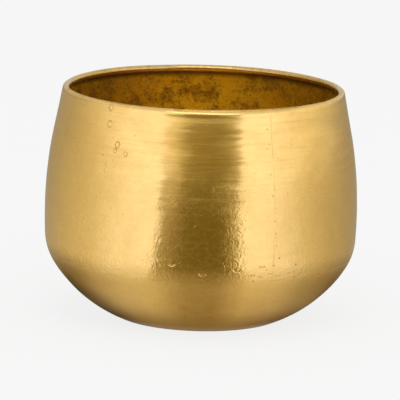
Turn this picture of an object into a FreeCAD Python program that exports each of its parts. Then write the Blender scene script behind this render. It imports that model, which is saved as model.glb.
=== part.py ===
"""Brass cachepot: a bulbous, hand-made pot of sheet metal with a wired rim.

The pot is built the way a sheet-metal worker makes it. A dish is raised from one disc. A strip is
rolled into the wall and closed by one upright brazed seam. The wall's lower edge meets the dish
just under the belly, and a second brazed seam runs round there. The wall's upper edge is curled
inwards round a wire, which stiffens the mouth.

Frame: millimetres, +Z up, origin on the floor at the pot's axis, front towards -Y.
"""

import FreeCAD, Part
import math
import os

import Sketcher

# Driving sizes in millimetres, angles in degrees, and shares of the size that each one names.
SIZES = [
    ("overall_height", 230.0, "floor to the top of the rim"),
    ("belly_radius", 155.0, "widest place, outside"),
    ("mouth_inset", 15.8, "how far the outside of the rim's roll lies in from the belly"),
    ("foot_inset", 75.0, "how far the edge of the flat that it stands on lies in from the belly"),
    ("foot_corner_radius", 6.0, "bend between the flat and the dish, outside"),
    ("dish_curve_radius", 136.0, "dish between the foot corner and the shoulder, outside"),
    ("shoulder_curve_radius", 54.0, "tighter bend under the belly, outside"),
    ("shoulder_height", 80.0, "floor to the upper end of the shoulder bend"),
    ("shoulder_drop", 24.0, "how far the shoulder bend ends under the widest place"),
    ("arc_share", 0.7, "of the height from belly to roll, curved; the rest is straight"),
    ("sheet_thickness", 1.2, "wall and dish"),
    ("wire_diameter", 4.2, "wire in the rim"),
    ("wire_clearance", 0.1, "between the wire and the sheet curled round it"),
    ("wire_end_gap", 0.6, "between the two ends of the bent wire, opposite the upright seam"),
    ("curl_gap", 0.5, "between the curl's cut edge and the wall"),
    ("seam_width", 1.6, "of filler metal in both seams"),
    ("seam_rise", 8.3, "how far up the shoulder bend the seam round the pot lies"),
    ("side_seam_bearing", -62.5, "of the upright seam, counterclockwise from +X"),
]

UP = FreeCAD.Vector(0, 0, 1)
HALF_TURN = 180.0
ANGLE_TOLERANCE = 1e-12  # radians
START, END, CENTRE = 1, 2, 3  # point numbers of a sketch's line or arc
ORIGIN = (-1, 1)  # a sketch's own origin

# Rules that several pieces follow.
ROLL_RADIUS = "(Sizes.wire_diameter / 2 + Sizes.wire_clearance + Sizes.sheet_thickness)"
ROLL_REACH = f"(Sizes.belly_radius - Sizes.mouth_inset - {ROLL_RADIUS})"
ROLL_HEIGHT = f"(Sizes.overall_height - {ROLL_RADIUS})"
BELLY_HEIGHT = "(Sizes.shoulder_height + Sizes.shoulder_drop)"
SEAM_ANGLE = "Sizes.seam_width / Sizes.belly_radius * 180 / pi"
WIRE_GAP_ANGLE = f"Sizes.wire_end_gap / {ROLL_REACH} * 180 / pi"


def make_sheet(doc):
    """The spreadsheet that holds the driving sizes."""
    sheet = doc.addObject("Spreadsheet::Sheet", "Sizes")
    for row, (name, value, note) in enumerate(SIZES, start=1):
        sheet.set(f"A{row}", name)
        sheet.set(f"B{row}", str(value))
        sheet.set(f"C{row}", note)
        sheet.setAlias(f"B{row}", name)
    doc.recompute()
    return sheet


def on_circle(centre, radius, angle):
    """Point of a circle at an angle in radians."""
    return (centre[0] + radius * math.cos(angle), centre[1] + radius * math.sin(angle))


class Outline:
    """Outside line of the pot, from the foot up to the rim's roll, as tangent arcs and lines.

    It gives each sketch its starting geometry. Points are (radius, height) pairs, and an arc's
    angle is that of its outward normal.
    """

    def __init__(self, sheet):
        def size(name):
            return float(sheet.get(name))

        self.wall = size("sheet_thickness")
        self.gap = size("curl_gap")
        self.wire_radius = size("wire_diameter") / 2
        self.bore = self.wire_radius + size("wire_clearance")
        self.roll_radius = self.bore + self.wall
        self.reach = size("belly_radius")
        mouth_radius = self.reach - size("mouth_inset")
        self.roll = (mouth_radius - self.roll_radius, size("overall_height") - self.roll_radius)

        self.shoulder_drop = size("shoulder_drop")
        belly_height = size("shoulder_height") + self.shoulder_drop
        self.arc_rise = size("arc_share") * (self.roll[1] - belly_height)
        self.lean = self.find_lean(self.roll[1] - belly_height - self.arc_rise)
        self.belly_radius = self.arc_rise / math.sin(self.lean)
        self.belly = (self.reach - self.belly_radius, belly_height)

        self.shoulder_radius = size("shoulder_curve_radius")
        self.shoulder_top = -math.asin(self.shoulder_drop / self.belly_radius)
        self.shoulder = on_circle(self.belly, self.belly_radius - self.shoulder_radius, self.shoulder_top)

        self.foot_radius = self.reach - size("foot_inset")
        self.corner_radius = size("foot_corner_radius")
        self.corner = (self.foot_radius, self.corner_radius)
        self.dish_radius = size("dish_curve_radius")
        self.dish = self.find_dish_centre()
        self.dish_low = self.bearing(self.dish, self.corner)
        self.dish_high = self.bearing(self.dish, self.shoulder)

        self.seam_rise = size("seam_rise")
        self.seam_width = size("seam_width")
        self.seam_low = self.climb(self.dish_high, self.seam_rise)
        self.seam_high = self.climb(self.seam_low, self.seam_width)

    @staticmethod
    def bearing(start, end):
        return math.atan2(end[1] - start[1], end[0] - start[0])

    def climb(self, angle, rise):
        """The angle on the shoulder's arc that lies that much higher than the given one."""
        return math.asin(math.sin(angle) + rise / self.shoulder_radius)

    def find_lean(self, straight_rise):
        """Lean of the straight wall, for which it touches both the belly's arc and the roll."""
        drop = self.reach - self.roll[0]
        low, high = 0.0, math.radians(HALF_TURN / 3)
        while high - low > ANGLE_TOLERANCE:
            lean = (low + high) / 2
            reached = (
                self.arc_rise * math.tan(lean / 2)
                + straight_rise * math.tan(lean)
                + self.roll_radius / math.cos(lean)
            )
            low, high = (lean, high) if reached < drop else (low, lean)
        return low

    def find_dish_centre(self):
        """Centre of the dish's arc, which touches the foot corner's and the shoulder's circles."""
        to_corner = self.dish_radius - self.corner_radius
        to_shoulder = self.dish_radius - self.shoulder_radius
        apart = math.dist(self.corner, self.shoulder)
        along = (to_corner**2 - to_shoulder**2 + apart**2) / (2 * apart)
        across = math.sqrt(to_corner**2 - along**2)
        turn = self.bearing(self.corner, self.shoulder)
        foot = on_circle(self.corner, along, turn)
        return on_circle(foot, across, turn + math.pi / 2)


class Profile:
    """A sketch of one sheet-metal piece's section, fully constrained and bound to the sheet."""

    def __init__(self, body, outline, kept):
        self.outline = outline
        self.sketch = body.newObject("Sketcher::SketchObject", body.Name + "Section")
        plane = next(f for f in body.Origin.OriginFeatures if f.Role == "XZ_Plane")
        self.sketch.AttachmentSupport = [(plane, "")]
        self.sketch.MapMode = "FlatFace"
        self.parts = {}
        self.kept = kept
        self.draw_outside()
        self.bind_outside()

    def point(self, place):
        return FreeCAD.Vector(place[0], place[1], 0)

    def line(self, name, start, end, construction=False):
        shape = Part.LineSegment(self.point(start), self.point(end))
        self.parts[name] = self.sketch.addGeometry(shape, construction)

    def circle(self, centre, radius):
        return Part.Circle(self.point(centre), UP, radius)

    def arc(self, name, centre, radius, start, end, construction=False):
        shape = Part.ArcOfCircle(self.circle(centre, radius), start, end)
        self.parts[name] = self.sketch.addGeometry(shape, construction)

    def fix(self, kind, *places):
        """A constraint between parts of this sketch, which are named, and their point numbers."""
        numbers = [self.parts.get(place, place) for place in places]
        return self.sketch.addConstraint(Sketcher.Constraint(kind, *numbers))

    def bind(self, name, expression, kind, *places):
        """A named size of this sketch that follows the sheet."""
        index = self.fix(kind, *places)
        self.sketch.renameConstraint(index, name)
        self.sketch.setExpression("Constraints." + name, expression)

    def draw_outside(self):
        """The whole outside line. Stretches that belong to other pieces are construction lines."""
        o = self.outline
        down = -math.pi / 2
        wall_foot = on_circle(o.belly, o.belly_radius, o.lean)
        wall_top = on_circle(o.roll, o.roll_radius, o.lean)

        def other(name):
            return name not in self.kept

        self.line("foot", (0, 0), (o.foot_radius, 0), other("foot"))
        self.arc("corner", o.corner, o.corner_radius, down, o.dish_low, other("corner"))
        self.arc("dish", o.dish, o.dish_radius, o.dish_low, o.dish_high, other("dish"))
        self.arc("low", o.shoulder, o.shoulder_radius, o.dish_high, o.seam_low, other("low"))
        self.arc("seam", o.shoulder, o.shoulder_radius, o.seam_low, o.seam_high, other("seam"))
        self.arc("high", o.shoulder, o.shoulder_radius, o.seam_high, o.shoulder_top, other("high"))
        self.arc("belly", o.belly, o.belly_radius, o.shoulder_top, o.lean, other("belly"))
        self.line("straight", wall_foot, wall_top, other("straight"))
        self.parts["roll"] = self.sketch.addGeometry(self.circle(o.roll, o.roll_radius), True)
        widest = self.point((o.reach, o.belly[1]))
        self.parts["reach"] = self.sketch.addGeometry(Part.Point(widest), True)

        for below, above in (("foot", "corner"), ("corner", "dish"), ("dish", "low")):
            self.fix("Tangent", below, END, above, START)
        for below, above in (("low", "seam"), ("seam", "high")):
            self.fix("Coincident", below, END, above, START)
            self.fix("Coincident", below, CENTRE, above, CENTRE)
        for below, above in (("high", "belly"), ("belly", "straight")):
            self.fix("Tangent", below, END, above, START)
        self.fix("Tangent", "straight", END, "roll")

    def bind_outside(self):
        """The sizes of the outside line."""
        o = self.outline
        self.fix("Coincident", "foot", START, *ORIGIN)
        self.fix("Horizontal", "foot")
        rule = "Sizes.belly_radius - Sizes.foot_inset"
        self.bind("foot_radius", rule, "DistanceX", *ORIGIN, "foot", END, o.foot_radius)
        self.bind("foot_corner", "Sizes.foot_corner_radius", "Radius", "corner", o.corner_radius)
        self.bind("dish_curve", "Sizes.dish_curve_radius", "Radius", "dish", o.dish_radius)
        self.bind("shoulder_curve", "Sizes.shoulder_curve_radius", "Radius", "low", o.shoulder_radius)
        self.bind("seam_rise", "Sizes.seam_rise", "DistanceY", "low", START, "low", END, o.seam_rise)
        self.bind("seam_width", "Sizes.seam_width", "DistanceY", "seam", START, "seam", END, o.seam_width)
        rule = "Sizes.shoulder_drop"
        self.bind("shoulder_drop", rule, "DistanceY", "high", END, "reach", START, o.shoulder_drop)
        self.bind("belly_height", BELLY_HEIGHT, "DistanceY", *ORIGIN, "belly", CENTRE, o.belly[1])
        self.fix("PointOnObject", "reach", START, "belly")
        self.fix("Horizontal", "belly", CENTRE, "reach", START)
        self.bind("belly_radius", "Sizes.belly_radius", "DistanceX", *ORIGIN, "reach", START, o.reach)
        rule = f"{BELLY_HEIGHT} + Sizes.arc_share * ({ROLL_HEIGHT} - {BELLY_HEIGHT})"
        self.bind("arc_top", rule, "DistanceY", *ORIGIN, "belly", END, o.belly[1] + o.arc_rise)
        self.bind("roll_reach", ROLL_REACH, "DistanceX", *ORIGIN, "roll", CENTRE, o.roll[0])
        self.bind("roll_height", ROLL_HEIGHT, "DistanceY", *ORIGIN, "roll", CENTRE, o.roll[1])
        self.bind("roll_radius", ROLL_RADIUS, "Radius", "roll", o.roll_radius)

    def inside_arc(self, name, centre, radius, start, end):
        """The inside of a bend: an arc about the same centre, one sheet's thickness smaller."""
        self.arc(name + "_inside", centre, radius - self.outline.wall, start, end)
        self.fix("Coincident", name, CENTRE, name + "_inside", CENTRE)

    def end_face(self, name, outer, outer_end, inner, inner_end):
        """A cut edge of the sheet, square to it."""
        self.line(name, self.place(outer, outer_end), self.place(inner, inner_end))
        self.fix("Coincident", name, START, outer, outer_end)
        self.fix("Coincident", name, END, inner, inner_end)
        self.fix("PointOnObject", outer, CENTRE, name)

    def place(self, name, end):
        where = self.sketch.getPoint(self.parts[name], end)
        return (where.x, where.y)

    def set_thickness(self, name):
        """The sheet's thickness, measured on a cut edge."""
        self.bind("thickness", "Sizes.sheet_thickness", "Distance", name, self.outline.wall)

    def check(self):
        """Stops if the section isn't fully constrained."""
        self.sketch.solve()
        if not self.sketch.FullyConstrained:
            raise SystemExit(f"{self.sketch.Name} isn't fully constrained")


def wall_section(body, outline):
    """Wall from the seam round the pot up to the cut edge of the curl."""
    o = outline
    section = Profile(body, outline, ("high", "belly", "straight"))
    curl_turn = math.acos((o.bore - o.gap) / o.roll_radius)
    curl_end = o.lean - curl_turn + 2 * math.pi
    section.arc("curl", o.roll, o.roll_radius, o.lean, curl_end)
    section.fix("Coincident", "curl", CENTRE, "roll", CENTRE)
    section.fix("Coincident", "curl", START, "straight", END)

    section.inside_arc("high", o.shoulder, o.shoulder_radius, o.seam_high, o.shoulder_top)
    section.inside_arc("belly", o.belly, o.belly_radius, o.shoulder_top, o.lean)
    inside_foot = on_circle(o.belly, o.belly_radius - o.wall, o.lean)
    section.line("straight_inside", inside_foot, on_circle(o.roll, o.bore, o.lean))
    section.inside_arc("curl", o.roll, o.roll_radius, o.lean, curl_end)
    section.fix("Tangent", "high_inside", END, "belly_inside", START)
    section.fix("Tangent", "belly_inside", END, "straight_inside", START)
    section.fix("Tangent", "straight_inside", END, "curl_inside", START)
    section.fix("Parallel", "straight", "straight_inside")
    section.end_face("lower_edge", "high", START, "high_inside", START)
    section.end_face("curl_edge", "curl", END, "curl_inside", END)
    section.set_thickness("lower_edge")
    section.bind("curl_gap", "Sizes.curl_gap", "Distance", "curl", END, "straight_inside", o.gap)
    section.check()
    return section.sketch


def dish_section(body, outline):
    """Dish from its centre out to its edge, which meets the wall under the belly."""
    o = outline
    section = Profile(body, outline, ("foot", "corner", "dish", "low"))
    section.line("floor", (0, o.wall), (o.foot_radius, o.wall))
    section.inside_arc("corner", o.corner, o.corner_radius, -math.pi / 2, o.dish_low)
    section.inside_arc("dish", o.dish, o.dish_radius, o.dish_low, o.dish_high)
    section.inside_arc("low", o.shoulder, o.shoulder_radius, o.dish_high, o.seam_low)
    section.fix("Tangent", "floor", END, "corner_inside", START)
    section.fix("Tangent", "corner_inside", END, "dish_inside", START)
    section.fix("Tangent", "dish_inside", END, "low_inside", START)
    section.fix("Horizontal", "floor")
    section.line("axis", (0, 0), (0, o.wall))
    section.fix("Coincident", "axis", START, "foot", START)
    section.fix("Coincident", "axis", END, "floor", START)
    section.fix("Vertical", "axis")
    section.end_face("upper_edge", "low", END, "low_inside", END)
    section.set_thickness("upper_edge")
    section.check()
    return section.sketch


def seam_section(body, outline):
    """Filler metal between the dish's edge and the wall's edge."""
    o = outline
    section = Profile(body, outline, ("seam",))
    section.inside_arc("seam", o.shoulder, o.shoulder_radius, o.seam_low, o.seam_high)
    section.end_face("lower_edge", "seam", START, "seam_inside", START)
    section.end_face("upper_edge", "seam", END, "seam_inside", END)
    section.set_thickness("lower_edge")
    section.check()
    return section.sketch


def wire_section(body, outline):
    """Round section of the wire, at the middle of the rim's roll."""
    sketch = body.newObject("Sketcher::SketchObject", body.Name + "Section")
    plane = next(f for f in body.Origin.OriginFeatures if f.Role == "XZ_Plane")
    sketch.AttachmentSupport = [(plane, "")]
    sketch.MapMode = "FlatFace"
    centre = FreeCAD.Vector(outline.roll[0], outline.roll[1], 0)
    wire = sketch.addGeometry(Part.Circle(centre, UP, outline.wire_radius), False)
    for name, rule, constraint in (
        ("wire_radius", "Sizes.wire_diameter / 2", ("Radius", wire, outline.wire_radius)),
        ("wire_reach", ROLL_REACH, ("DistanceX", *ORIGIN, wire, CENTRE, centre.x)),
        ("wire_height", ROLL_HEIGHT, ("DistanceY", *ORIGIN, wire, CENTRE, centre.y)),
    ):
        index = sketch.addConstraint(Sketcher.Constraint(*constraint))
        sketch.renameConstraint(index, name)
        sketch.setExpression("Constraints." + name, rule)
    return sketch


def turned_piece(doc, outline, label, section, angle, bearing):
    """A piece made by turning a section about the pot's axis, half its angle to each side."""
    body = doc.addObject("PartDesign::Body", "".join(word.title() for word in label.split("_")))
    body.Label = label
    sketch = section(body, outline)
    turned = body.newObject("PartDesign::Revolution", body.Name + "Turned")
    turned.Profile = sketch
    turned.ReferenceAxis = (sketch, ["V_Axis"])
    turned.Midplane = True
    turned.setExpression("Angle", angle)
    body.Placement = FreeCAD.Placement(FreeCAD.Vector(), FreeCAD.Rotation(UP, HALF_TURN))
    body.setExpression("Placement.Rotation.Angle", bearing)
    body.Tip = turned
    return body


def build(doc):
    """Every piece of the pot."""
    sheet = make_sheet(doc)
    outline = Outline(sheet)
    at_seam = "Sizes.side_seam_bearing"
    past_seam = "Sizes.side_seam_bearing + 180"
    pieces = [
        turned_piece(doc, outline, "side_wall", wall_section, f"360 - {SEAM_ANGLE}", past_seam),
        turned_piece(doc, outline, "side_seam", wall_section, SEAM_ANGLE, at_seam),
        turned_piece(doc, outline, "shoulder_seam", seam_section, "360", at_seam),
        turned_piece(doc, outline, "base_dish", dish_section, "360", at_seam),
        turned_piece(doc, outline, "rim_wire", wire_section, f"360 - {WIRE_GAP_ANGLE}", at_seam),
    ]
    doc.recompute()
    return pieces


def check(doc, pieces):
    """Stops at a feature that failed, or a piece that isn't one valid solid."""
    for item in doc.Objects:
        if "Invalid" in item.State or "Error" in item.State:
            raise SystemExit(f"{item.Name} failed: {item.State}")
    for piece in pieces:
        shape = piece.Shape
        if shape.isNull() or not shape.isValid() or len(shape.Solids) != 1:
            raise SystemExit(f"{piece.Label} isn't one valid solid")
        box = shape.optimalBoundingBox(False)
        print(
            f"{piece.Label}: volume {shape.Volume:.1f} mm3, reach {max(box.XMax, box.YMax):.2f}, "
            f"height {box.ZMin:.2f} to {box.ZMax:.2f} mm"
        )


def main():
    doc = FreeCAD.newDocument("Cachepot")
    pieces = build(doc)
    check(doc, pieces)
    os.makedirs("parts", exist_ok=True)
    for piece in pieces:
        piece.Shape.exportStep(f"parts/{piece.Label}.step")


main()
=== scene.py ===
"""Looks of a hand-made brass cachepot: sheet-metal pieces with their brass, and a small studio."""

import math
from functools import partial, reduce

import bpy
from bpy.props import FloatProperty, FloatVectorProperty, IntProperty, PointerProperty
from bpy.types import NodeSocket
from mathutils import Euler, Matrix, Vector


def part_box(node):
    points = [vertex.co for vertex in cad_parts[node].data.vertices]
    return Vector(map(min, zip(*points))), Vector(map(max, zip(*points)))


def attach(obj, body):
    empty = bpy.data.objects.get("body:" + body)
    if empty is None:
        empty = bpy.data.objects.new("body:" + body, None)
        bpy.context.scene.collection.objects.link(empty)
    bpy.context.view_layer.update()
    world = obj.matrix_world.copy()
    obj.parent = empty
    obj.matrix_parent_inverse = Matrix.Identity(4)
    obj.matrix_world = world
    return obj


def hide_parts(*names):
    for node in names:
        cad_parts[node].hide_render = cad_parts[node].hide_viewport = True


bl_info = {
    "name": "Brass cachepot",
    "version": (1, 0, 0),
    "blender": (4, 5, 0),
    "location": "3D View > Sidebar > Cachepot",
    "description": "Models a brass cachepot of sheet metal with a wired rim, and sets up its studio",
    "category": "Add Mesh",
}

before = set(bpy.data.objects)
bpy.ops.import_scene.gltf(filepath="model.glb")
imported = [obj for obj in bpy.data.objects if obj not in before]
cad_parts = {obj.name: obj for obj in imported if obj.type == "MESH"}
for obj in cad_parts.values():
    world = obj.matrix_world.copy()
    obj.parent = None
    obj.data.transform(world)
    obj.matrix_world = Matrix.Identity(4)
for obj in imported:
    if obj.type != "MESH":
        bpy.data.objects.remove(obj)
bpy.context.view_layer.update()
WALL_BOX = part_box("side_wall")
WIRE_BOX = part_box("rim_wire")

MM = 0.001
WIRE_RADIUS = (WIRE_BOX[1][2] - WIRE_BOX[0][2]) / 2
ROLL_HEIGHT = (WIRE_BOX[1][2] + WIRE_BOX[0][2]) / 2
ROLL_REACH = WIRE_BOX[1][0] - WIRE_RADIUS
TOP = WALL_BOX[1][2]
CURL_LOW = 2 * ROLL_HEIGHT - TOP
BELLY_REACH = WALL_BOX[1][0]
WIRE_TURN = 0.999 * math.tau
WIRE_SIDES = 16
SEAM_STEPS = 4
SMOOTH_ANGLE = math.radians(40)
DOWN = (0, 0, -1)
AWAY = (0, 1, 0)

# Line that the studio's cards are turned from, as reach and height: a table, then a wall round it
CARD_LINE = ((0.09, 0.0005), (0.2, 0.001), (0.6, 0.03), (2.5, 0.30), (2.5, 3.2))
CARD_ROW = 0.5
CARD_STEPS = 96
FLOOR_SIZE = 12
CAMERA_TARGET = (-0.001, 0, 0.1148)
LAMP_PLACE = (0, -1.5, 2.1)
LAMP_TARGET = (0, 0, 0.12)
LAMP_SIZE = (1.8, 1.2)

# Glow of the cards that only the brass mirrors: painted reflections of bright and dark parts of a studio, and
# near the pot painted shade of the table. Degrees to the right of the front, then colour
# Tones of the table near the pot: painted shade
NEAR_CARDS = (
    (-180, 0.10, 0.07, 0.02), (-100, 0.15, 0.11, 0.04), (-80, 0.28, 0.22, 0.11), (-62, 0.50, 0.44, 0.30),
    (-43, 0.68, 0.62, 0.48), (-25, 0.74, 0.67, 0.50), (-8, 0.44, 0.37, 0.22), (8, 0.41, 0.34, 0.20),
    (25, 0.74, 0.65, 0.47), (43, 0.66, 0.59, 0.44), (62, 0.43, 0.37, 0.24), (83, 0.32, 0.25, 0.14),
    (108, 0.16, 0.11, 0.04), (180, 0.10, 0.07, 0.02),
)
LOW_CARDS = (
    (-180, 0.34, 0.29, 0.17), (-125, 0.52, 0.48, 0.36), (-90, 0.72, 0.66, 0.50), (-70, 0.90, 0.84, 0.71),
    (-50, 1.19, 1.16, 1.24), (-30, 1.34, 1.33, 1.46), (-26, 0.38, 0.32, 0.15), (-16, 0.27, 0.21, 0.07),
    (-11, 0.16, 0.12, 0.01), (15, 0.16, 0.115, 0.01), (19, 0.36, 0.30, 0.10), (23, 0.50, 0.44, 0.20),
    (27, 1.36, 1.35, 1.48), (54, 1.10, 1.07, 1.13), (70, 0.79, 0.74, 0.61), (89, 0.62, 0.56, 0.43),
    (120, 0.48, 0.44, 0.33), (180, 0.34, 0.29, 0.17),
)
HIGH_CARDS = (
    (-180, 0.80, 0.78, 0.72), (-125, 0.50, 0.46, 0.37), (-90, 0.91, 0.83, 0.70), (-70, 1.24, 1.19, 1.20),
    (-50, 1.40, 1.39, 1.54), (-31, 1.50, 1.50, 1.70), (-26, 1.22, 1.16, 1.04), (-18, 0.90, 0.84, 0.60),
    (-11, 0.33, 0.27, 0.07), (8, 0.23, 0.18, 0.03), (17, 0.32, 0.27, 0.08), (25, 0.50, 0.45, 0.28),
    (29, 1.46, 1.46, 1.62), (54, 1.44, 1.43, 1.56), (70, 1.33, 1.28, 1.26), (89, 1.18, 1.11, 0.93),
    (120, 1.00, 0.96, 0.86), (180, 0.80, 0.78, 0.72),
)

# Old marks on the wall: degrees to the right of the front, height and size in millimetres
WALL_PITS = (
    (25.8, 210, 1.6), (26.3, 196, 1.3), (25.2, 192, 1.3), (26.3, 167, 1.4), (26.8, 147, 1.4),
    (27.8, 135, 1.5), (27.8, 122, 1.5), (28, 110, 1.5), (28.5, 98, 1.5), (29.8, 86, 1.8), (27.8, 79, 1.5),
    (32.8, 149, 1.2), (37.2, 78, 2.6), (36.8, 71, 1.8), (41, 71, 1.6), (50.5, 63, 1.8), (37.5, 65, 1.6),
    (28.8, 69, 1.6), (25, 75, 1.4), (20.2, 64, 1.8), (13, 104, 1.2), (13, 69, 1.6), (8, 67, 1.5),
    (5, 63, 1.4), (-12, 60, 1.4), (-23.5, 63, 1.3), (-52, 70, 1.6), (-75, 68, 1.6), (-47, 114, 1.2),
    (-36, 121, 1.2), (-29, 125, 1.2), (-1.8, 119, 1.2), (-26.5, 200, 1.3),
)
WALL_RINGS = ((-39.5, 224, 3.0), (-39, 208, 3.2), (-34, 190, 2.8), (-34.8, 184, 2.0), (-30, 182, 2.0))
WALL_DENTS = (
    (1.2, 74, 3.4), (-10, 82, 2.6), (13.5, 78, 3.0), (23, 80, 2.8), (19.5, 72, 2.2), (22.5, 70, 1.7),
    (27, 72, 2.0), (30.5, 69, 1.6), (35, 71, 1.9), (40, 69, 1.6),
)
WALL_SQUIGGLE = (
    (-38.2, 172, 1.7), (-38.6, 169.5, 1.7), (-37.8, 168, 1.6), (-38.4, 166, 1.6), (-38.7, 164, 1.5),
    (-38.2, 162, 1.5), (-35.4, 175, 1.6), (-34.9, 173, 1.5),
)


class PotShape(bpy.types.PropertyGroup):
    """Sizes of the pot, as built."""

    belly_height: FloatProperty(
        name="Belly height", description="Floor to the widest place", default=104 * MM, unit="LENGTH"
    )
    shoulder_drop: FloatProperty(
        name="Shoulder drop", description="Widest place down to the shoulder bend", default=24 * MM,
        unit="LENGTH",
    )
    shoulder_curve: FloatProperty(
        name="Shoulder curve", description="Radius of the bend under the belly", default=54 * MM,
        unit="LENGTH",
    )
    dish_curve: FloatProperty(
        name="Dish curve", description="Radius of the dish, seen from the side", default=136 * MM,
        unit="LENGTH",
    )
    foot_corner: FloatProperty(
        name="Foot corner", description="Radius of the bend round the foot", default=6 * MM, unit="LENGTH"
    )
    foot_inset: FloatProperty(
        name="Foot inset", description="Belly in to the edge of the foot", default=75 * MM, unit="LENGTH"
    )
    arc_share: FloatProperty(
        name="Curved share", description="Share of the upper wall's height that is curved", default=0.7
    )
    sheet: FloatProperty(
        name="Sheet", description="Thickness of the sheet", default=1.2 * MM, unit="LENGTH"
    )
    curl_gap: FloatProperty(
        name="Curl gap", description="Curl's edge to the wall", default=0.5 * MM, unit="LENGTH"
    )
    seam_rise: FloatProperty(
        name="Seam rise", description="Lower end of the shoulder bend up to its seam", default=8.3 * MM,
        unit="LENGTH",
    )
    seam_width: FloatProperty(
        name="Seam width", description="Width of the brazed seams", default=1.6 * MM, unit="LENGTH"
    )
    seam_bearing: FloatProperty(
        name="Seam bearing", description="Upright seam, counterclockwise from +X",
        default=math.radians(-62.5), subtype="ANGLE",
    )
    turn_steps: IntProperty(name="Steps", description="Steps round the pot", default=288)
    row: FloatProperty(name="Row", description="Height of one row of faces", default=2.8 * MM, unit="LENGTH")
    seam_row: FloatProperty(
        name="Seam row", description="Height of one row of a seam's faces", default=0.8 * MM, unit="LENGTH"
    )
    out_of_round: FloatProperty(
        name="Out of round", description="How far the hand-made pot strays from a true turning",
        default=0.9 * MM, unit="LENGTH",
    )
    rim_waves: FloatProperty(
        name="Rim waves", description="How far the rim rises and falls", default=1.0 * MM, unit="LENGTH"
    )
    mouth_tilt: FloatProperty(
        name="Mouth tilt", description="How much lower the mouth lies in front than behind",
        default=1.6 * MM, unit="LENGTH",
    )
    hammering: FloatProperty(
        name="Hammering", description="Depth of the broad hammer marks", default=0.4 * MM, unit="LENGTH"
    )
    braze_lumps: FloatProperty(
        name="Braze lumps", description="Unevenness of the filler metal", default=0.2 * MM, unit="LENGTH"
    )
    fit: FloatProperty(
        name="Fit", description="Share of the true size, so that its waves stay inside it", default=0.9985
    )


class PotFinish(bpy.types.PropertyGroup):
    """Colours and gloss of the brass."""

    bright: FloatVectorProperty(
        name="Bright brass", description="Burnished sheet", default=(0.88, 0.60, 0.21), subtype="COLOR"
    )
    # Patina; also the darker end of the painted band and waves in the middle of the pot
    dull: FloatVectorProperty(
        name="Dull brass", description="Sheet with a patina", default=(0.70, 0.44, 0.125), subtype="COLOR"
    )
    glancing: FloatVectorProperty(
        name="Glancing tint", description="Tint of what the sheet mirrors at a glancing angle",
        default=(0.88, 0.84, 0.80), subtype="COLOR",
    )
    # Tarnish in pits, and also the colour of painted shade under the curl, on the rim and low on the left
    tarnish_and_shade: FloatVectorProperty(
        name="Pit", description="Tarnish in pits and crevices", default=(0.10, 0.05, 0.012), subtype="COLOR"
    )
    inside: FloatVectorProperty(
        name="Inside", description="Unpolished inside", default=(1.0, 0.74, 0.065), subtype="COLOR"
    )
    inside_olive: FloatVectorProperty(
        name="Inside olive", description="Greener patches inside", default=(0.92, 0.74, 0.065),
        subtype="COLOR",
    )
    inside_deep: FloatVectorProperty(
        name="Deep inside", description="Unpolished brass low down inside", default=(0.80, 0.50, 0.13),
        subtype="COLOR",
    )
    inside_stain: FloatVectorProperty(
        name="Inside stain", description="Brown stains inside", default=(0.42, 0.24, 0.025), subtype="COLOR"
    )
    braze: FloatVectorProperty(
        name="Braze", description="Filler metal in the seams", default=(0.86, 0.59, 0.21), subtype="COLOR"
    )
    roughness: FloatProperty(
        name="Roughness", description="Gloss of the burnished sheet", default=0.25, subtype="FACTOR"
    )
    brushing: FloatProperty(
        name="Brushing", description="How far level scratches stretch reflections", default=0.8,
        subtype="FACTOR",
    )
    lacquer: FloatProperty(
        name="Lacquer", description="Strength of the old lacquer outside", default=0.55, subtype="FACTOR"
    )


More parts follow.
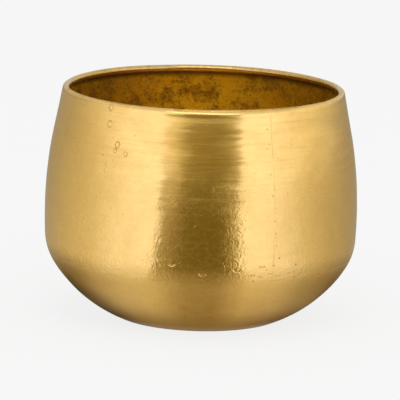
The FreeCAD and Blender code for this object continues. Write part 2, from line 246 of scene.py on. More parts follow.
class Outline:
    """Outside line of the pot as tangent arcs. Places are (reach, height), angles are those of normals."""

    def __init__(self, shape):
        self.roll_radius = TOP - ROLL_HEIGHT
        self.roll = (ROLL_REACH, ROLL_HEIGHT)
        rise = ROLL_HEIGHT - shape.belly_height
        self.arc_rise = shape.arc_share * rise
        self.lean = self.find_lean(rise - self.arc_rise)
        self.belly_radius = self.arc_rise / math.sin(self.lean)
        self.belly = (BELLY_REACH - self.belly_radius, shape.belly_height)
        self.shoulder_top = -math.asin(shape.shoulder_drop / self.belly_radius)
        self.shoulder_radius = shape.shoulder_curve
        inner = self.belly_radius - self.shoulder_radius
        self.shoulder = on_circle(self.belly, inner, self.shoulder_top)
        self.corner_radius = shape.foot_corner
        self.corner = (BELLY_REACH - shape.foot_inset, shape.foot_corner)
        self.dish_radius = shape.dish_curve
        self.dish = self.find_dish()
        self.dish_low = bearing(self.dish, self.corner)
        self.dish_high = bearing(self.dish, self.shoulder)
        self.seam_low = self.climb(self.dish_high, shape.seam_rise)
        self.seam_high = self.climb(self.seam_low, shape.seam_width)
        bore = self.roll_radius - shape.sheet
        turn = math.acos((bore - shape.curl_gap) / self.roll_radius)
        self.curl_end = self.lean - turn + math.tau

    def find_lean(self, straight_rise):
        """Lean of the straight wall that touches both the belly's arc and the roll, found by halving."""
        low, high = 0.0, math.pi / 3
        for _ in range(60):
            lean = (low + high) / 2
            reached = self.arc_rise * math.tan(lean / 2) + straight_rise * math.tan(lean)
            reached += self.roll_radius / math.cos(lean)
            if reached < BELLY_REACH - ROLL_REACH:
                low = lean
            else:
                high = lean
        return low

    def find_dish(self):
        """Centre of the dish's arc, which touches the foot corner and the shoulder."""
        to_corner = self.dish_radius - self.corner_radius
        to_shoulder = self.dish_radius - self.shoulder_radius
        apart = math.dist(self.corner, self.shoulder)
        along = (to_corner**2 - to_shoulder**2 + apart**2) / (2 * apart)
        across = math.sqrt(to_corner**2 - along**2)
        turn = bearing(self.corner, self.shoulder)
        return on_circle(on_circle(self.corner, along, turn), across, turn + math.pi / 2)

    def climb(self, angle, rise):
        """The angle on the shoulder's arc that lies that much higher than the given one."""
        return math.asin(math.sin(angle) + rise / self.shoulder_radius)

    def wall(self):
        """Arcs and lines of the wall, from the seam up to the curl's edge."""
        return [
            ("arc", self.shoulder, self.shoulder_radius, self.seam_high, self.shoulder_top),
            ("arc", self.belly, self.belly_radius, self.shoulder_top, self.lean),
            ("line", on_circle(self.belly, self.belly_radius, self.lean),
             on_circle(self.roll, self.roll_radius, self.lean)),
            ("arc", self.roll, self.roll_radius, self.lean, self.curl_end),
        ]

    def shoulder_seam(self):
        """Arc of the seam round the pot."""
        return [("arc", self.shoulder, self.shoulder_radius, self.seam_low, self.seam_high)]

    def base(self):
        """Lines and arcs of the dish, from the axis to its edge."""
        return [
            ("line", (0, 0), (self.corner[0], 0)),
            ("arc", self.corner, self.corner_radius, -math.pi / 2, self.dish_low),
            ("arc", self.dish, self.dish_radius, self.dish_low, self.dish_high),
            ("arc", self.shoulder, self.shoulder_radius, self.dish_high, self.seam_low),
        ]


def on_circle(centre, radius, angle):
    """Point of a circle at an angle."""
    return (centre[0] + radius * math.cos(angle), centre[1] + radius * math.sin(angle))


def bearing(start, end):
    """Angle from one point to another."""
    return math.atan2(end[1] - start[1], end[0] - start[0])


def begin_line(name, place):
    """A new mesh of one vertex at (reach, height), left in edit mode with that vertex selected."""
    bpy.ops.object.select_all(action="DESELECT")
    bpy.ops.mesh.primitive_plane_add(size=MM, location=(place[0], 0, place[1]))
    piece = bpy.context.object
    piece.name = name
    piece.data.name = name
    bpy.ops.object.mode_set(mode="EDIT")
    bpy.ops.mesh.select_all(action="SELECT")
    bpy.ops.mesh.merge(type="CENTER")
    return piece


def draw_line(stretches, row, curl_step=math.radians(14)):
    """Draws arcs and lines on from the selected vertex, in steps of one row, or less in tight curls."""
    for kind, *values in stretches:
        if kind == "arc":
            centre, radius, start, end = values
            steps = max(2, math.ceil(radius * (end - start) / row), math.ceil((end - start) / curl_step))
            bpy.ops.mesh.spin(steps=steps, angle=end - start, center=(centre[0], 0, centre[1]), axis=AWAY)
        else:
            start, end = values
            steps = max(2, math.ceil(math.dist(start, end) / row))
            step = ((end[0] - start[0]) / steps, 0, (end[1] - start[1]) / steps)
            for _ in range(steps):
                bpy.ops.mesh.extrude_vertices_move(TRANSFORM_OT_translate={"value": step})


def turn_sheet(name, stretches, row, steps, turn, middle):
    """An outside skin: a line turned about the pot's axis by turn, half of it each side of middle."""
    first = stretches[0]
    start = first[1] if first[0] == "line" else on_circle(*first[1:4])
    piece = begin_line(name, start)
    draw_line(stretches, row)
    spin_round(steps, turn, middle)
    return piece


def spin_round(steps, turn, middle):
    """Spins all of the mesh in edit mode about the pot's axis, then leaves edit mode."""
    bpy.ops.mesh.select_all(action="SELECT")
    bpy.ops.transform.rotate(
        value=turn / 2 - middle, orient_axis="Z", orient_type="GLOBAL", center_override=(0, 0, 0)
    )
    bpy.ops.mesh.spin(steps=steps, angle=turn, center=(0, 0, 0), axis=DOWN)
    bpy.ops.mesh.select_all(action="SELECT")
    bpy.ops.mesh.remove_doubles(threshold=0.02 * MM)
    bpy.ops.mesh.normals_make_consistent(inside=False)
    bpy.ops.object.mode_set(mode="OBJECT")


def smooth_step(value, low, high):
    """0 below low, 1 above high, and a smooth rise between them."""
    share = min(1, max(0, (value - low) / (high - low)))
    return share * share * (3 - 2 * share)


def weigh(piece, name, weight):
    """A vertex group whose weights come from each vertex's height and its place from front to back."""
    group = piece.vertex_groups.new(name=name)
    middle = piece.location
    for vertex in piece.data.vertices:
        place = middle + vertex.co
        group.add([vertex.index], weight(place.z, place.y), "REPLACE")
    return name


def cloud(name, size, coloured=False):
    """A soft cloudy pattern for displacing, made once."""
    texture = bpy.data.textures.get(name)
    if texture is None:
        texture = bpy.data.textures.new(name, "CLOUDS")
        texture.noise_scale = size
        texture.noise_depth = 1
        texture.cloud_type = "COLOR" if coloured else "GRAYSCALE"
    return texture


def modify(piece, kind, **settings):
    """Gives a piece a modifier and applies it."""
    bpy.context.view_layer.objects.active = piece
    bpy.ops.object.modifier_add(type=kind)
    step = piece.modifiers[-1]
    for name, value in settings.items():
        setattr(step, name, value)
    bpy.ops.object.modifier_apply(modifier=step.name)


def displace(piece, texture, direction, depth, middle, group):
    """Moves the vertices evenly, or by a cloudy pattern fixed in space, so neighbours move together."""
    modify(
        piece, "DISPLACE", texture=texture, texture_coords="GLOBAL", direction=direction, strength=depth,
        mid_level=middle, vertex_group=group,
    )


def work_by_hand(piece, shape):
    """The small errors of hand work, the same in all pieces: out of round, a wavy rim, hammer marks."""
    off_floor = weigh(piece, "off_floor", lambda height, depth: smooth_step(height, 0, 30 * MM))
    near_rim = weigh(piece, "near_rim", lambda height, depth: smooth_step(height, 150 * MM, 225 * MM))
    in_front = weigh(
        piece, "in_front",
        lambda height, depth: smooth_step(height, 110 * MM, 225 * MM) * (0.5 - depth / ROLL_REACH / 2),
    )
    hammered = weigh(
        piece, "hammered",
        lambda height, depth:
            smooth_step(height, 2 * MM, 12 * MM) * (1 - smooth_step(height, 205 * MM, 223 * MM)),
    )
    displace(piece, cloud("pot_out_of_round", 0.16, coloured=True), "RGB_TO_XYZ", shape.out_of_round, 0.5,
             off_floor)
    # A middle above 1 makes the rim only sink, so it stays inside the solid's box
    displace(piece, cloud("pot_rim_waves", 0.09), "Z", shape.rim_waves, 1.4, near_rim)
    displace(piece, None, "Z", -shape.mouth_tilt, 0.0, in_front)
    displace(piece, cloud("pot_hammer_marks", 0.024), "NORMAL", shape.hammering, 1.0, hammered)


def thicken(piece, shape):
    """Gives a skin the sheet's thickness inwards. The inner face gets the second material."""
    modify(
        piece, "SOLIDIFY", thickness=shape.sheet, offset=-1, use_even_offset=True,
        use_quality_normals=True, material_offset=1,
    )


def complete(piece, shape):
    """Puts a piece's place into its mesh, makes it fit, smooths it, and gives it its body."""
    bpy.ops.object.select_all(action="DESELECT")
    piece.select_set(True)
    bpy.context.view_layer.objects.active = piece
    bpy.ops.object.transform_apply(location=True, rotation=True, scale=True)
    piece.scale = (shape.fit,) * 3
    bpy.ops.object.transform_apply(location=False, rotation=False, scale=True)
    bpy.ops.object.shade_smooth_by_angle(angle=SMOOTH_ANGLE)
    piece.vertex_groups.clear()
    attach(piece, "root")


def feed(made, inputs):
    """Links sockets to a node's inputs, or sets these to plain values. A colour is three numbers."""
    for key, value in inputs.items():
        socket = made.inputs[key]
        if isinstance(value, NodeSocket):
            made.id_data.links.new(value, socket)
        elif socket.type == "RGBA":
            socket.default_value = (*value, 1)
        else:
            socket.default_value = value


def add_node(tree, kind, inputs=None, **settings):
    """A new shader node. Nodes stand in rows, from left to right."""
    made = tree.nodes.new(kind)
    row, column = divmod(len(tree.nodes), 12)
    made.location = (column * 190, row * -260)
    for name, value in settings.items():
        setattr(made, name, value)
    feed(made, inputs or {})
    return made


def maths(operation, *values):
    """Result of a Math node. At least one of its values is a socket."""
    tree = next(value.id_data for value in values if isinstance(value, NodeSocket))
    return add_node(tree, "ShaderNodeMath", dict(enumerate(values)), operation=operation).outputs[0]


def add(*values):
    """Sum of the values."""
    return reduce(partial(maths, "ADD"), values)


def times(*values):
    """Product of the values."""
    return reduce(partial(maths, "MULTIPLY"), values)


def most(*values):
    """The greatest of the values."""
    return reduce(partial(maths, "MAXIMUM"), values)


def times_plus(value, factor, extra):
    """Value times factor, plus extra."""
    return maths("MULTIPLY_ADD", value, factor, extra)


def vector_maths(operation, *vectors, output=0):
    """Result of a Vector Math node: a vector, or a value from output 1."""
    inputs = dict(enumerate(vectors))
    made = add_node(vectors[0].id_data, "ShaderNodeVectorMath", inputs, operation=operation)
    return made.outputs[output]


def ramp(value, low, high, start=0.0, end=1.0, kind="SMOOTHSTEP"):
    """From start, where the value is low or less, to end, where it is high or more."""
    inputs = {"Value": value, "From Min": low, "From Max": high, "To Min": start, "To Max": end}
    return add_node(value.id_data, "ShaderNodeMapRange", inputs, interpolation_type=kind).outputs[0]


def between(value, low, low_end, high, high_end):
    """A hill: it rises to 1 from low to low_end and falls back to 0 from high to high_end."""
    return times(ramp(value, low, low_end), ramp(value, high, high_end, 1.0, 0.0))


def colour(share, first, second):
    """A blend of two colours: the first where the share is 0, the second where it is 1."""
    made = add_node(share.id_data, "ShaderNodeMix", {0: share, 6: first, 7: second}, data_type="RGBA")
    return made.outputs[2]


def noise(place, scale=1.0, detail=2.0, roughness=0.5, distortion=0.0, output="Fac"):
    """A cloudy pattern."""
    inputs = {
        "Vector": place, "Scale": scale, "Detail": detail, "Roughness": roughness, "Distortion": distortion,
    }
    return add_node(place.id_data, "ShaderNodeTexNoise", inputs).outputs[output]


def parts(place):
    """X, Y and Z of a place."""
    return add_node(place.id_data, "ShaderNodeSeparateXYZ", {0: place}).outputs[:3]


def in_millimetres(place):
    """X, Y and Z of a place, in millimetres."""
    return parts(vector_maths("MULTIPLY", place, (1 / MM,) * 3))


def joined(x, y, z):
    """A place from its X, Y and Z, the first of which is a socket."""
    return add_node(x.id_data, "ShaderNodeCombineXYZ", {0: x, 1: y, 2: z}).outputs[0]


def from_axis(place):
    """Distance from the pot's axis."""
    return vector_maths("LENGTH", vector_maths("MULTIPLY", place, (1, 1, 0)), output=1)


def from_front(place):
    """Turn to the right of the front, in radians."""
    x, y, _ = parts(place)
    return maths("ARCTAN2", x, times(y, -1.0))


def round_pot(tree):
    """Direction that runs level round the pot."""
    return add_node(tree, "ShaderNodeTangent", direction_type="RADIAL", axis="Z").outputs[0]


def group_tree(name, values, results):
    """An empty shader node group: its tree, the socket of its place, and those of its named values."""
    tree = bpy.data.node_groups.new(name, "ShaderNodeTree")
    tree.interface.new_socket("Place", in_out="INPUT", socket_type="NodeSocketVector")
    for label, default in values.items():
        socket = tree.interface.new_socket(label, in_out="INPUT", socket_type="NodeSocketFloat")
        socket.default_value = default
    for label in results:
        kind = "NodeSocketVector" if label == "Normal" else "NodeSocketFloat"
        tree.interface.new_socket(label, in_out="OUTPUT", socket_type=kind)
    given = add_node(tree, "NodeGroupInput").outputs
    return tree, *given[:len(values) + 1]


def close_group(tree, results):
    """Links the results to the group's outputs."""
    add_node(tree, "NodeGroupOutput", results)
    return tree


def scratches_group():
    """Scratches that run level round the pot, from the burnishing."""
    tree, place, depth = group_tree(
        "Level scratches", {"Depth": 0.004}, ("Streaks", "Strong streaks", "Height")
    )
    # Cloudy patterns drawn out level: few waves in a metre sideways, many in a metre upwards
    x, y, z = parts(place)
    along = joined(x, y, add(z, from_axis(place)))
    broad = noise(vector_maths("MULTIPLY", along, (9, 9, 260)), detail=3.0, roughness=0.6)
    fine = noise(vector_maths("MULTIPLY", along, (22, 22, 1100)), roughness=0.6)
    streaks = add(times(broad, 0.6), times(fine, 0.4))
    results = {
        "Streaks": ramp(streaks, 0.35, 0.65), "Strong streaks": ramp(streaks, 0.51, 0.60),
        "Height": times(times_plus(fine, 0.08, broad), depth),
    }
    return close_group(tree, results)


def facets_group():
    """Level strokes of the hammer and the burnisher, each of which faces a little to one side."""
    tree, place, tilt = group_tree("Level facets", {"Tilt": 0.4}, ("Normal",))
    long = vector_maths("MULTIPLY", place, (17, 17, 230))
    strokes = add(noise(long, detail=3.0, roughness=0.6), -0.5)
    sideways = vector_maths("MULTIPLY", round_pot(tree), times(strokes, tilt))
    facing = vector_maths("ADD", add_node(tree, "ShaderNodeNewGeometry").outputs["Normal"], sideways)
    return close_group(tree, {"Normal": vector_maths("NORMALIZE", facing)})


def patina_group():
    """Dulled patches, and mottling where the polish wore through."""
    tree, place, patch_size, mottle_size = group_tree(
        "Brass patina", {"Patch size": 0.05, "Mottle size": 0.006}, ("Patches", "Mottling")
    )
    patches = noise(place, maths("DIVIDE", 1.0, patch_size), detail=4.0, roughness=0.6, distortion=0.6)
    mottling = noise(place, maths("DIVIDE", 1.0, mottle_size), detail=4.0, roughness=0.65)
    return close_group(tree, {"Patches": ramp(patches, 0.38, 0.68), "Mottling": ramp(mottling, 0.4, 0.68)})


def ripples_group():
    """Small worm-like ripples that planishing leaves between the broad hammer marks."""
    tree, place, size, depth = group_tree(
        "Planishing ripples", {"Ripple size": 0.007, "Depth": 0.08}, ("Height", "Worms")
    )
    scale = maths("DIVIDE", 1.0, size)
    worms = noise(place, scale, roughness=0.45, distortion=1.6)
    grain = noise(place, times(scale, 3.2), detail=1.0)
    where = ramp(noise(place, 16.0), 0.36, 0.56, 0.4, 1.0)
    height = times(times_plus(grain, 0.12, worms), where, depth)
    return close_group(tree, {"Height": height, "Worms": ramp(worms, 0.48, 0.60)})


def pits_group():
    """Scattered pinholes and specks of tarnish."""
    tree, place, spacing, share = group_tree(
        "Scattered pits", {"Spacing": 0.012, "Share": 0.3}, ("Pits", "Specks")
    )
    scale = maths("DIVIDE", 1.0, spacing)
    wobble = times(add(noise(place, times(scale, 6.0), detail=1.0), -0.5), 0.12)

    def spots(finer, low, high):
        """1 in the middle of some cells, 0 in the others."""
        inputs = {"Vector": place, "Scale": times(scale, finer)}
        cells = add_node(tree, "ShaderNodeTexVoronoi", inputs).outputs
        chosen = maths("LESS_THAN", parts(cells["Color"])[0], share)
        return times(ramp(add(cells["Distance"], wobble), low, high, 1.0, 0.0), chosen)

    return close_group(tree, {"Pits": spots(1.0, 0.05, 0.11), "Specks": spots(3.1, 0.10, 0.24)})


def unrolled(place):
    """Place on the unrolled wall: metres to the right of the front, and height, with a small wobble."""
    spot = joined(times(from_front(place), BELLY_REACH), parts(place)[2], 0.0)
    wobble = vector_maths("SUBTRACT", noise(place, 700.0, detail=1.0, output="Color"), (0.5, 0.5, 0.5))
    return vector_maths("ADD", spot, vector_maths("MULTIPLY", wobble, (2.2 * MM,) * 3))


def marks_group():
    """The few larger pits, rings, scratches and dents that this pot has, on its unrolled wall."""
    tree, place = group_tree("Old marks", {}, ("Pits", "Rings", "Scratches", "Dents"))
    spot = unrolled(place)
    worn = ramp(noise(place, 260.0), 0.36, 0.60, 0.25, 1.0)

    def from_middle(degrees, height):
        """Distance from the middle of a mark."""
        return vector_maths("DISTANCE", spot, (math.radians(degrees) * BELLY_REACH, height * MM, 0), output=1)

    def filled(degrees, height, size):
        """1 in the middle of a mark, 0 outside it."""
        return ramp(from_middle(degrees, height), size * MM * 0.15, size * MM * 0.55, 1.0, 0.0)

    def ring(degrees, height, size, width=1.1):
        """1 on a circle, 0 inside and outside it."""
        off = maths("ABSOLUTE", add(from_middle(degrees, height), -size * MM))
        return ramp(off, 0.2 * MM, width * MM, 1.0, 0.0)

    def dent(degrees, height, size):
        """The lower half of a wide ring, as a hammer's edge leaves it."""
        lower = ramp(parts(spot)[1], (height - 2) * MM, (height - 0.5) * MM, 1.0, 0.0)
        return times(ring(degrees, height, size, 1.5), lower)

    results = {
        "Pits": most(*(filled(*mark) for mark in WALL_PITS)),
        "Rings": times(most(*(ring(*mark) for mark in WALL_RINGS)), worn),
        "Scratches": most(*(filled(*mark) for mark in WALL_SQUIGGLE)),
        "Dents": most(*(dent(*mark) for mark in WALL_DENTS)),
    }
    return close_group(tree, results)


GROUP_MAKERS = {
    "Level scratches": scratches_group, "Level facets": facets_group, "Brass patina": patina_group,
    "Planishing ripples": ripples_group, "Scattered pits": pits_group, "Old marks": marks_group,
}


def shared(place, name, values=None):
    """Outputs of a node that holds a shared group, which is made once."""
    tree = bpy.data.node_groups.get(name) or GROUP_MAKERS[name]()
    inputs = {"Place": place, **(values or {})}
    return add_node(place.id_data, "ShaderNodeGroup", inputs, node_tree=tree).outputs


def settle(shader, base, roughness, height, normal=None):
    """Feeds the shader: base colour, roughness, and a height in millimetres as its bump."""
    bump = add_node(shader.id_data, "ShaderNodeBump", {"Height": height, "Distance": MM, "Strength": 1.0})
    if normal is not None:
        feed(bump, {"Normal": normal})
    feed(shader, {"Normal": bump.outputs[0], "Base Color": base, "Roughness": roughness, "Metallic": 1.0})


def brush(shader, finish):
    """Stretches reflections up and down, across the level scratches."""
    feed(shader, {
        "Anisotropic": finish.brushing, "Anisotropic Rotation": 0.25, "Tangent": round_pot(shader.id_data),
    })


def coat(shader, finish, holes):
    """A thin old lacquer, which is missing in the holes."""
    weight = times_plus(holes, -finish.lacquer, finish.lacquer)
    feed(shader, {"Coat Weight": weight, "Coat Roughness": 0.25, "Coat IOR": 1.27})


def burnished_brass(finish, shader, place):
    """Outside of the sheet: burnished round the pot, with a patina, ripples and old marks, and painted shade
    in places.
    """
    scratches = shared(place, "Level scratches", {"Depth": 0.10})
    patina = shared(place, "Brass patina")
    ripples = shared(place, "Planishing ripples", {"Depth": 0.23})
    pits = shared(place, "Scattered pits", {"Share": 0.08})
    marks = shared(place, "Old marks")
    x, y, height = in_millimetres(place)
    over_curl = add(height, -CURL_LOW / MM)
    sideways = maths("ABSOLUTE", x)
    middle = ramp(sideways, 20, 50, 1.0, 0.0)
    streaked = ramp(height, 120, 165, 0.25, 1.0)
    strong = times(scratches["Strong streaks"], streaked)
    holes = most(
        times(pits["Pits"], 0.7), times(pits["Specks"], 0.25), marks["Pits"], times(marks["Rings"], 0.6),
        times(marks["Scratches"], 0.7),
    )
    # Dull patches and streaks, and a dull foot
    dulled = add(
        times(patina["Patches"], 0.30), times(patina["Mottling"], 0.15), times(scratches["Streaks"], 0.07),
        ramp(height, 15, 70, 0.55, 0.0), ramp(height, 10, 26, 0.35, 0.0),
    )
    # A painted dark band under the rim, and waves of painted light and shade on the belly, in the middle of
    # the pot
    painted_shade_band = times(between(height, 160, 180, 200, 216), middle)
    waves = times(
        times_plus(ripples["Worms"], -0.7, 0.28), ramp(height, 150, 178, 1.0, 0.0),
        ramp(height, 60, 85, 0.2, 1.0), middle,
    )
    base = colour(add(dulled, waves, times(painted_shade_band, 0.3)), finish.bright, finish.dull)
    # Painted shadow under the curl, tarnish and painted shade on the rim, tarnish in holes, and painted shade
    # low on the left
    painted_shadow_under_curl = times(
        between(over_curl, -5, -3, -2, 0.3),
        ramp(from_axis(place), ROLL_REACH - 2 * MM, ROLL_REACH, 1.0, 0.0),
    )
    # Mottled tarnish on the rim, with painted shade that makes it darker at the back than in front
    rim_tarnish_and_shade = times(
        ramp(over_curl, 0, 3), times_plus(patina["Mottling"], 0.3, 0.6), ramp(y, -110, 0, 0.2, 1.0)
    )
    # Painted shade low on the left of the pot
    painted_shade_low_left = times(
        ramp(times_plus(height, 1.2, x), -75, -35, 0.65, 0.0), ramp(height, 30, 55, 1.0, 0.0)
    )
    darkened = most(
        times(strong, 0.015), times(painted_shadow_under_curl, 0.8), times(rim_tarnish_and_shade, 0.55), times(holes, 0.6), painted_shade_low_left
    )
    base = colour(darkened, base, finish.tarnish_and_shade)
    roughness = add(
        times_plus(dulled, 0.10, finish.roughness - 0.04), times(strong, 0.08), times(painted_shade_band, -0.06),
        times(holes, 0.3),
    )
    # A shallow groove under the rim, which runs as the mouth leans
    drop = bpy.context.scene.pot_shape.mouth_tilt
    from_rim = add(times_plus(y, -drop / 2 / ROLL_REACH, (drop / 2 - TOP) / MM), height)
    groove = times(
        add(ramp(from_rim, -7.5, -4, 0.0, 0.34), ramp(from_rim, -13, -7.5, 0.26, 0.0)),
        ramp(sideways, 35, 60, 1.0, 0.1),
    )
    hammered = times_plus(between(height, 54, 66, 78, 92), 0.9, ramp(height, 135, 170, 1.0, 0.10))
    relief = add(
        times(scratches["Height"], times_plus(streaked, 0.30, 0.25)), times(ripples["Height"], hammered),
        times(holes, -0.2), times(marks["Dents"], -0.4), groove,
    )
    tilt = times(ramp(sideways, 50, 100, 0.18, 0.06), streaked)
    facets = shared(place, "Level facets", {"Tilt": tilt})
    settle(shader, base, roughness, relief, facets["Normal"])
    brush(shader, finish)
    feed(shader, {"Specular Tint": finish.glancing})
    # No lacquer in holes, nor on the painted shade low on the left
    coat(shader, finish, most(holes, times(painted_shade_low_left, 1.5)))


def aged_inside(finish, shader, place):
    """Inside of the sheet: never burnished, with brown stains, dark spots and a painted shadow under the
    curl.
    """
    scratches = shared(place, "Level scratches", {"Depth": 0.010})
    patina = shared(place, "Brass patina", {"Patch size": 0.026, "Mottle size": 0.0024})
    hues = shared(place, "Brass patina", {"Patch size": 0.047})
    ripples = shared(place, "Planishing ripples", {"Ripple size": 0.008, "Depth": 0.16})
    specks = shared(place, "Scattered pits", {"Spacing": 0.009, "Share": 0.9})
    spots = shared(place, "Scattered pits", {"Spacing": 0.016, "Share": 0.6})
    height = in_millimetres(place)[2]
    # Painted shadow in a band just under the curl
    painted_shadow_under_curl = ramp(height, CURL_LOW / MM - 9, CURL_LOW / MM - 3)
    clustered = times(spots["Specks"], ramp(patina["Patches"], 0.2, 0.8, 0.2, 0.9))
    holes = most(specks["Pits"], times(specks["Specks"], 0.5), spots["Pits"], clustered)
    stained = add(
        patina["Patches"], times(patina["Mottling"], 0.6), times_plus(ripples["Worms"], 0.4, -0.40)
    )
    base = colour(hues["Patches"], finish.inside, finish.inside_olive)
    base = colour(ramp(height, 80, 160, 1.0, 0.0), base, finish.inside_deep)
    base = colour(stained, base, finish.inside_stain)
    base = colour(times(most(holes, painted_shadow_under_curl), 0.85), base, finish.tarnish_and_shade)
    relief = add(scratches["Height"], ripples["Height"], times(holes, -0.15))
    settle(shader, base, times_plus(stained, 0.15, 0.34), relief)


def brazed_seam(finish, shader, place):
    """Filler metal in the seams: nearly the sheet's colour, lumpy and full of pinholes."""
    patina = shared(place, "Brass patina", {"Patch size": 0.02, "Mottle size": 0.003})
    pits = shared(place, "Scattered pits", {"Spacing": 0.005, "Share": 0.35})
    holes = most(times(pits["Pits"], 0.7), shared(place, "Old marks")["Pits"])
    dulled = add(times(patina["Patches"], 0.5), times(patina["Mottling"], 0.4))
    base = colour(dulled, finish.braze, finish.dull)
    base = colour(times(holes, 0.6), base, finish.tarnish_and_shade)
    relief = times_plus(holes, -0.2, times(noise(place, 500.0), 0.04))
    settle(shader, base, times_plus(dulled, 0.12, finish.roughness), relief)
    brush(shader, finish)
    coat(shader, finish, holes)


def drawn_wire(finish, shader, place):
    """Brass wire inside the curl: fine marks of the drawing die, and tarnish."""
    patina = shared(place, "Brass patina", {"Patch size": 0.02, "Mottle size": 0.002})
    scratches = shared(place, "Level scratches", {"Depth": 0.004})
    darkened = add(times(patina["Patches"], 0.6), times(patina["Mottling"], 0.3))
    base = colour(darkened, finish.dull, finish.inside_stain)
    settle(shader, base, times_plus(darkened, 0.2, 0.35), scratches["Height"])


def dress(piece, finish, *makers):
    """Gives a piece its materials, outside first. Each is made once, under its maker's name."""
    for maker in makers:
        material = bpy.data.materials.get(maker.__name__)
        if material is None:
            material = bpy.data.materials.new(maker.__name__)
            material.use_nodes = True
            shader = material.node_tree.nodes["Principled BSDF"]
            shader.location = (2600, 0)
            place = add_node(material.node_tree, "ShaderNodeTexCoord").outputs["Object"]
            maker(finish, shader, place)
        piece.data.materials.append(material)


def make_sheet(context, name, stretches, turn, middle):
    """A finished piece of the brass sheet, from its outline."""
    shape = context.scene.pot_shape
    piece = turn_sheet(name, stretches, shape.row, shape.turn_steps, turn, middle)
    work_by_hand(piece, shape)
    dress(piece, context.scene.pot_finish, burnished_brass, aged_inside)
    thicken(piece, shape)
    complete(piece, shape)
    return piece


class CACHEPOT_OT_side_wall(bpy.types.Operator):
    """Side wall: from the shoulder seam up, and curled inwards round the rim wire"""

    bl_idname = "cachepot.side_wall"
    bl_label = "Side wall"

    def execute(self, context):
        shape = context.scene.pot_shape
        turn = math.tau - shape.seam_width / BELLY_REACH
        middle = shape.seam_bearing + math.pi
        piece = make_sheet(context, "wall_sheet", Outline(shape).wall(), turn, middle)
        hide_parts("side_wall")
        return {"FINISHED"}


class CACHEPOT_OT_base_dish(bpy.types.Operator):
    """Base dish: flat foot and round sides up to the shoulder seam"""

    bl_idname = "cachepot.base_dish"
    bl_label = "Base dish"

    def execute(self, context):
        outline = Outline(context.scene.pot_shape)
        piece = make_sheet(context, "dish_sheet", outline.base(), math.tau, 0)
        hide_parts("base_dish")
        return {"FINISHED"}


class CACHEPOT_OT_seams(bpy.types.Operator):
    """Brazed seams: one up the side wall, one round the shoulder"""

    bl_idname = "cachepot.seams"
    bl_label = "Brazed seams"

    def execute(self, context):
        shape = context.scene.pot_shape
        outline = Outline(shape)
        gap = shape.seam_width / BELLY_REACH
        upright = turn_sheet(
            "upright_braze", outline.wall(), shape.seam_row, SEAM_STEPS, gap, shape.seam_bearing
        )
        ring = turn_sheet(
            "shoulder_braze", outline.shoulder_seam(), shape.seam_row / 2, shape.turn_steps, math.tau, 0
        )
        for piece, node in ((upright, "side_seam"), (ring, "shoulder_seam")):
            work_by_hand(piece, shape)
            below_curl = weigh(piece, "below_curl", lambda height, depth: 1 - smooth_step(height, 0.20, 0.21))
            displace(piece, cloud("pot_braze_lumps", 0.004), "NORMAL", shape.braze_lumps, 0.4, below_curl)
            dress(piece, context.scene.pot_finish, brazed_seam)
            thicken(piece, shape)
            complete(piece, shape)
            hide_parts(node)
        return {"FINISHED"}


class CACHEPOT_OT_rim_wire(bpy.types.Operator):
    """Rim wire inside the curl"""

    bl_idname = "cachepot.rim_wire"
    bl_label = "Rim wire"

    def execute(self, context):
        shape = context.scene.pot_shape
        bpy.ops.object.select_all(action="DESELECT")
        bpy.ops.mesh.primitive_circle_add(
            vertices=WIRE_SIDES, radius=WIRE_RADIUS, fill_type="NGON",
            location=(ROLL_REACH, 0, ROLL_HEIGHT), rotation=(math.pi / 2, 0, 0),
        )
        piece = context.object
        piece.name = "rim_wire_ring"
        bpy.ops.object.mode_set(mode="EDIT")
        spin_round(shape.turn_steps, WIRE_TURN, shape.seam_bearing)
        work_by_hand(piece, shape)
        dress(piece, context.scene.pot_finish, drawn_wire)
        complete(piece, shape)
        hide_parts("rim_wire")
        return {"FINISHED"}


def bare_material(name):
    """A material without a shader: the material and its output node."""
    material = bpy.data.materials.new(name)
    material.use_nodes = True
    nodes = material.node_tree.nodes
    nodes.remove(nodes["Principled BSDF"])
    nodes["Material Output"].location = (2400, 0)
    return material, nodes["Material Output"]


def ray_kinds(tree):
    """Two masks: what the camera sees directly, and what polished metal or glass shows."""
    path = add_node(tree, "ShaderNodeLightPath").outputs
    return path["Is Camera Ray"], most(path["Is Glossy Ray"], path["Is Transmission Ray"])


def studio_floor_material(look):
    """Pale floor. The camera sees it evenly lit, but for a soft shadow of the pot."""
    material, output = bare_material("pale_floor")
    tree = material.node_tree
    seen, mirrored = ray_kinds(tree)
    paint = add_node(tree, "ShaderNodeBsdfDiffuse", {"Color": (look.paper,) * 3}).outputs[0]
    glow = add_node(tree, "ShaderNodeEmission", {"Color": (look.backdrop,) * 3}).outputs[0]
    share = add(times(seen, look.evenness), times(mirrored, look.mirrored_evenness))
    mix = add_node(tree, "ShaderNodeMixShader", {0: share, 1: paint, 2: glow})
    feed(output, {"Surface": mix.outputs[0]})
    return material


def card_tones(turn, tones):
    """Tones of the cards by degrees to the right of the front, blended from each to the next."""
    share = ramp(turn, -180.0, 180.0, kind="LINEAR")
    blend = add_node(turn.id_data, "ShaderNodeValToRGB", {0: share})
    stops = blend.color_ramp.elements
    while len(stops) < len(tones):
        stops.new(1.0)
    for stop, (degrees, *tone) in zip(stops, tones):
        stop.position = (degrees + 180) / 360
        stop.color = (*tone, 1)
    return blend.outputs[0]


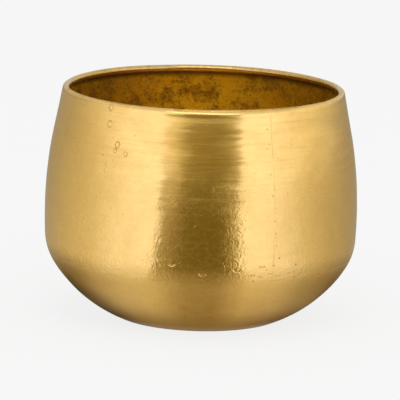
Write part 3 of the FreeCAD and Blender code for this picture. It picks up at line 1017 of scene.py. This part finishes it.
def painted_reflection_material(look):
    """Glowing cards round the table that only the brass mirrors: painted reflections, dark in front, bright
    at both sides of that, dimmer behind.
    """
    material, output = bare_material("painted_reflection_cards")
    place = add_node(material.node_tree, "ShaderNodeTexCoord").outputs["Object"]
    turn = maths("DEGREES", from_front(place))
    height = parts(place)[2]
    leaning = add(turn, ramp(height, 0.58, 0.76, 0.0, -3.5))
    low = card_tones(turn, LOW_CARDS)
    high = card_tones(leaning, HIGH_CARDS)
    tone = colour(ramp(height, 0.12, 0.50), low, high)
    # Painted warm light on the cards from 0.62 m up
    tone = colour(ramp(height, 0.62, 0.85, 0.0, 0.18), tone, (1.25, 1.17, 0.70))
    # Painted shade of the table round the pot, as the brass mirrors it: under the pot, and near it
    away = from_axis(place)
    aside = ramp(maths("ABSOLUTE", turn), 12.0, 62.0)
    under = colour(aside, (0.32, 0.25, 0.12), (0.12, 0.07, 0.02))
    painted_table_shade = colour(ramp(away, 0.085, 0.13), under, card_tones(turn, NEAR_CARDS))
    tone = colour(ramp(away, 0.165, 0.32, kind="LINEAR"), painted_table_shade, tone)
    tone = colour(ramp(height, 1.4, 2.8), tone, (look.backdrop,) * 3)
    glow = add_node(material.node_tree, "ShaderNodeEmission", {"Color": tone, "Strength": look.card_glow})
    feed(output, {"Surface": glow.outputs[0]})
    return material


def aim(thing, target, roll=0.0):
    """Turns a lamp or camera towards a place, then rolls it."""
    sight = (Vector(target) - thing.location).to_track_quat("-Z", "Y")
    thing.rotation_euler = (sight @ Euler((0, 0, roll)).to_quaternion()).to_euler()


class PotStudio(bpy.types.PropertyGroup):
    """Floor, light, cards and camera."""

    paper: FloatProperty(name="Paper", description="Paleness of the floor", default=0.85, subtype="FACTOR")
    backdrop: FloatProperty(
        name="Backdrop", description="Paleness of what lies behind the pot", default=0.933, subtype="FACTOR"
    )
    evenness: FloatProperty(
        name="Evenness", description="Share of the floor's look that no shadow reaches", default=0.89,
        subtype="FACTOR",
    )
    mirrored_evenness: FloatProperty(
        name="Mirrored evenness", description="The same, for the floor as the brass mirrors it",
        default=0.2, subtype="FACTOR",
    )
    fill: FloatProperty(name="Fill", description="Strength of the light from all round", default=0.95)
    top_power: FloatProperty(name="Top lamp", description="Power of the lamp above", default=12.0)
    # The cards glow and paint the brass's reflections; no lamp lights them
    card_glow: FloatProperty(name="Card light", description="Strength of the lit cards", default=1.0)
    lens: FloatProperty(name="Lens", description="Focal length", default=370.6)
    camera_distance: FloatProperty(
        name="Camera distance", description="Camera in front of the pot", default=4.0, unit="LENGTH"
    )
    camera_height: FloatProperty(
        name="Camera height", description="Camera above the floor", default=0.892, unit="LENGTH"
    )
    camera_roll: FloatProperty(
        name="Camera roll", description="Turn of the camera about its sight line",
        default=math.radians(1.52), subtype="ANGLE",
    )


class CACHEPOT_OT_studio(bpy.types.Operator):
    """Studio: pale floor, soft light, glowing cards that only the brass mirrors as painted reflections, and
    the camera
    """

    bl_idname = "cachepot.studio"
    bl_label = "Studio"

    def execute(self, context):
        look = context.scene.pot_studio
        bpy.ops.object.select_all(action="DESELECT")
        bpy.ops.mesh.primitive_plane_add(size=FLOOR_SIZE, location=(0, 0, 0))
        floor = context.object
        floor.name = "studio_floor"
        floor.data.materials.append(studio_floor_material(look))
        self.add_cards(look)
        self.light_world(context.scene, look)
        self.add_lamp(look)
        bpy.ops.object.camera_add(location=(0, -look.camera_distance, look.camera_height))
        camera = context.object
        camera.name = "studio_camera"
        camera.data.lens = look.lens
        camera.data.sensor_width = 36
        aim(camera, CAMERA_TARGET, look.camera_roll)
        context.scene.camera = camera
        context.scene.view_settings.view_transform = "Standard"
        return {"FINISHED"}

    def add_cards(self, look):
        """Glowing cards for painted reflections, which rise gently from the pot's foot, then stand all round
        the table.
        """
        piece = begin_line("painted_reflection_cards", CARD_LINE[0])
        draw_line([("line", *ends) for ends in zip(CARD_LINE, CARD_LINE[1:])], CARD_ROW)
        spin_round(CARD_STEPS, math.tau, 0)
        bpy.ops.object.transform_apply(location=True, rotation=True, scale=True)
        piece.data.materials.append(painted_reflection_material(look))
        self.show_in_reflections(piece)

    def show_in_reflections(self, card):
        """Only the brass sees the card, so it casts no shadow and isn't in the picture."""
        card.visible_camera = False
        card.visible_diffuse = False
        card.visible_shadow = False
        card.visible_transmission = False

    def add_lamp(self, look):
        """A large soft lamp above and in front."""
        bpy.ops.object.light_add(type="AREA", location=LAMP_PLACE)
        lamp = bpy.context.object
        lamp.name = "top_softbox"
        lamp.data.shape = "RECTANGLE"
        lamp.data.size, lamp.data.size_y = LAMP_SIZE
        lamp.data.energy = look.top_power
        aim(lamp, LAMP_TARGET)

    def light_world(self, scene, look):
        """A pale surround: as seen directly, and as light."""
        world = bpy.data.worlds.new("studio_world")
        world.use_nodes = True
        scene.world = world
        seen = most(*ray_kinds(world.node_tree))
        strength = times_plus(seen, look.backdrop - look.fill, look.fill)
        feed(world.node_tree.nodes["Background"], {"Color": (1, 1, 1), "Strength": strength})


class VIEW3D_PT_cachepot(bpy.types.Panel):
    """Steps that make the pot and its studio"""

    bl_label = "Cachepot"
    bl_space_type = "VIEW_3D"
    bl_region_type = "UI"
    bl_category = "Cachepot"

    def draw(self, context):
        for step in STEPS:
            self.layout.operator(step.bl_idname)
        for group in (context.scene.pot_shape, context.scene.pot_finish, context.scene.pot_studio):
            box = self.layout.box()
            for name in group.bl_rna.properties.keys():
                if name not in {"rna_type", "name"}:
                    box.prop(group, name)


STEPS = (
    CACHEPOT_OT_side_wall, CACHEPOT_OT_base_dish, CACHEPOT_OT_seams, CACHEPOT_OT_rim_wire,
    CACHEPOT_OT_studio,
)
CLASSES = (PotShape, PotFinish, PotStudio, *STEPS, VIEW3D_PT_cachepot)


def register():
    for cls in CLASSES:
        bpy.utils.register_class(cls)
    bpy.types.Scene.pot_shape = PointerProperty(type=PotShape)
    bpy.types.Scene.pot_finish = PointerProperty(type=PotFinish)
    bpy.types.Scene.pot_studio = PointerProperty(type=PotStudio)


def unregister():
    del bpy.types.Scene.pot_studio
    del bpy.types.Scene.pot_finish
    del bpy.types.Scene.pot_shape
    for cls in reversed(CLASSES):
        bpy.utils.unregister_class(cls)


def main():
    """Makes the pot and its studio, step by step."""
    register()
    bpy.ops.cachepot.side_wall()
    bpy.ops.cachepot.base_dish()
    bpy.ops.cachepot.seams()
    bpy.ops.cachepot.rim_wire()
    bpy.ops.cachepot.studio()


if __name__ == "__main__":
    main()
